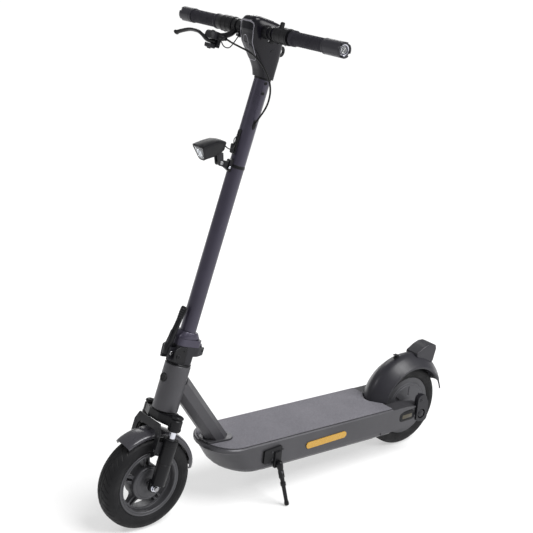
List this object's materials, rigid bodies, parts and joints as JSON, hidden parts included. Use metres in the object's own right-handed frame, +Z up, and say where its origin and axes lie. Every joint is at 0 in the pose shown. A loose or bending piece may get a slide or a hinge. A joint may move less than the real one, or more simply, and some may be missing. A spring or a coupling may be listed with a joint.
{
  "type": "electric kick scooter",
  "caption": "Folding electric kick scooter with front suspension, hub motor behind, drum hub in front, wide rubber-topped deck, rear fender, kickstand, front lamp and bar end lights.",
  "frame": {"origin": "on the floor, in the middle of the scooter's length and width", "axes": "+X forwards, +Y to the rider's left, +Z up"},
  "size_m": [1.206, 0.61, 1.298],
  "materials": {
    "frame_paint": "satin dark grey",
    "stem_paint": "satin near-black with a violet tint",
    "fork_paint": "satin black",
    "gloss_black": "gloss black",
    "black_plastic": "fine-grained black",
    "grey_plastic": "satin dark grey",
    "chrome": "polished",
    "steel": "zinc plated",
    "aluminium": "bare cast",
    "tyre_rubber": "matte",
    "grip_rubber": "matte, knurled",
    "mat_rubber": "matte grit",
    "amber_reflector": "prismatic",
    "red_lens": "clear red",
    "clear_lens": "clear",
    "battery_wrap": "heat-shrink film"
  },
  "bodies": {
    "frame": {"deck_shell": "frame_paint", "deck_mat": "mat_rubber", "deck_bottom_cover": "black_plastic", "battery_pack": "battery_wrap", "motor_controller": "aluminium", "frame_neck": "frame_paint", "side_reflector_left": "amber_reflector", "side_reflector_right": "amber_reflector", "dropout_cover_left": "grey_plastic", "dropout_cover_right": "grey_plastic", "rear_fender": "grey_plastic", "tail_light_housing": "grey_plastic", "tail_light_lens": "red_lens", "fender_hook": "black_plastic", "rear_axle": "steel", "kickstand_bracket": "fork_paint", "upper_headset_bearing": "steel", "lower_headset_bearing": "steel", "charge_socket": "black_plastic"},
    "charge_cap": {"charge_cap": "grip_rubber"},
    "kickstand": {"kickstand_leg": "fork_paint"},
    "steering": {"fork_crown": "fork_paint", "fork_stanchion_left": "chrome", "fork_stanchion_right": "chrome", "fork_spring_left": "steel", "fork_spring_right": "steel", "fold_base": "fork_paint", "fold_pin": "steel"},
    "latch_lever": {"latch_lever": "fork_paint"},
    "fork_lowers": {"fork_lower_left": "fork_paint", "fork_lower_right": "fork_paint", "fork_brace": "fork_paint", "front_fender": "grey_plastic", "front_axle": "steel"},
    "front_wheel": {"front_tyre": "tyre_rubber", "front_rim": "frame_paint"},
    "rear_wheel": {"rear_tyre": "tyre_rubber", "rear_rim": "frame_paint", "motor_cover": "frame_paint"},
    "stem": {"stem_tube": "stem_paint", "fold_collar": "fork_paint", "head_housing": "gloss_black", "front_panel": "gloss_black", "display": "gloss_black", "handlebar": "stem_paint", "grip_left": "grip_rubber", "grip_right": "grip_rubber", "bar_end_light_left": "grey_plastic", "bar_end_light_right": "grey_plastic", "brake_perch": "fork_paint", "throttle_housing": "black_plastic", "switch_housing": "black_plastic", "lamp_bracket": "fork_paint", "brake_cable": "grip_rubber"},
    "brake_lever": {"brake_lever": "fork_paint"},
    "throttle_paddle": {"throttle_paddle": "grey_plastic"},
    "bell_lever": {"bell_lever": "black_plastic"},
    "power_button": {"power_button": "grey_plastic"},
    "lamp": {"lamp_housing": "black_plastic", "lamp_lens": "clear_lens"}
  },
  "joints": [
    {"name": "steering_turn", "type": "hinge", "parent": "frame", "child": "steering", "pos_m": [0.4755, 0, 0.1275], "axis": [-0.2797, 0, 0.9601], "range_deg": [-50, 50]},
    {"name": "stem_fold", "type": "hinge", "parent": "steering", "child": "stem", "pos_m": [0.3297, 0, 0.45999], "axis": [0, -1, 0], "range_deg": [0, 86.5]},
    {"name": "latch_turn", "type": "hinge", "parent": "steering", "child": "latch_lever", "pos_m": [0.42222, 0, 0.47132], "axis": [0, 1, 0], "range_deg": [0, 75]},
    {"name": "fork_slide", "type": "slide", "parent": "steering", "child": "fork_lowers", "axis": [-0.2797, 0, 0.9601], "range_m": [0, 0.02], "stiffness_N_per_m": 12000, "springref_m": -0.02, "deforming": ["fork_spring_left", "fork_spring_right"]},
    {"name": "front_wheel_spin", "type": "hinge", "parent": "fork_lowers", "child": "front_wheel", "pos_m": [0.4755, 0, 0.1275], "axis": [0, 1, 0], "continuous": true},
    {"name": "rear_wheel_spin", "type": "hinge", "parent": "frame", "child": "rear_wheel", "pos_m": [-0.4465, 0, 0.1275], "axis": [0, 1, 0], "continuous": true},
    {"name": "brake_pull", "type": "hinge", "parent": "stem", "child": "brake_lever", "pos_m": [0.25229, -0.12, 1.22278], "axis": [0.2797, 0, -0.9601], "range_deg": [0, 16], "stiffness_Nm_per_rad": 1.5, "springref_deg": -11.46},
    {"name": "throttle_push", "type": "hinge", "parent": "stem", "child": "throttle_paddle", "pos_m": [0.20398, 0, 1.25454], "axis": [0, -1, 0], "range_deg": [0, 35], "stiffness_Nm_per_rad": 0.3, "springref_deg": -17.19},
    {"name": "bell_push", "type": "hinge", "parent": "stem", "child": "bell_lever", "pos_m": [0.20849, 0.09, 1.27481], "axis": [0, 1, 0], "range_deg": [0, 20], "stiffness_Nm_per_rad": 0.1, "springref_deg": -11.46},
    {"name": "power_press", "type": "slide", "parent": "stem", "child": "power_button", "axis": [0.9601, 0, 0.2797], "range_m": [0, 0.0015], "stiffness_N_per_m": 600, "springref_m": -0.001},
    {"name": "lamp_tilt", "type": "hinge", "parent": "stem", "child": "lamp", "pos_m": [0.29701, 0, 0.94052], "axis": [0, 1, 0], "range_deg": [-15, 15]},
    {"name": "kickstand_fold", "type": "hinge", "parent": "frame", "child": "kickstand", "pos_m": [0.112, 0.106, 0.12], "axis": [0, 1, 0], "range_deg": [0, 88]},
    {"name": "charge_cap_open", "type": "hinge", "parent": "frame", "child": "charge_cap", "pos_m": [0.176, -0.094, 0.1505], "axis": [-1, 0, 0], "range_deg": [0, 95]}
  ]
}
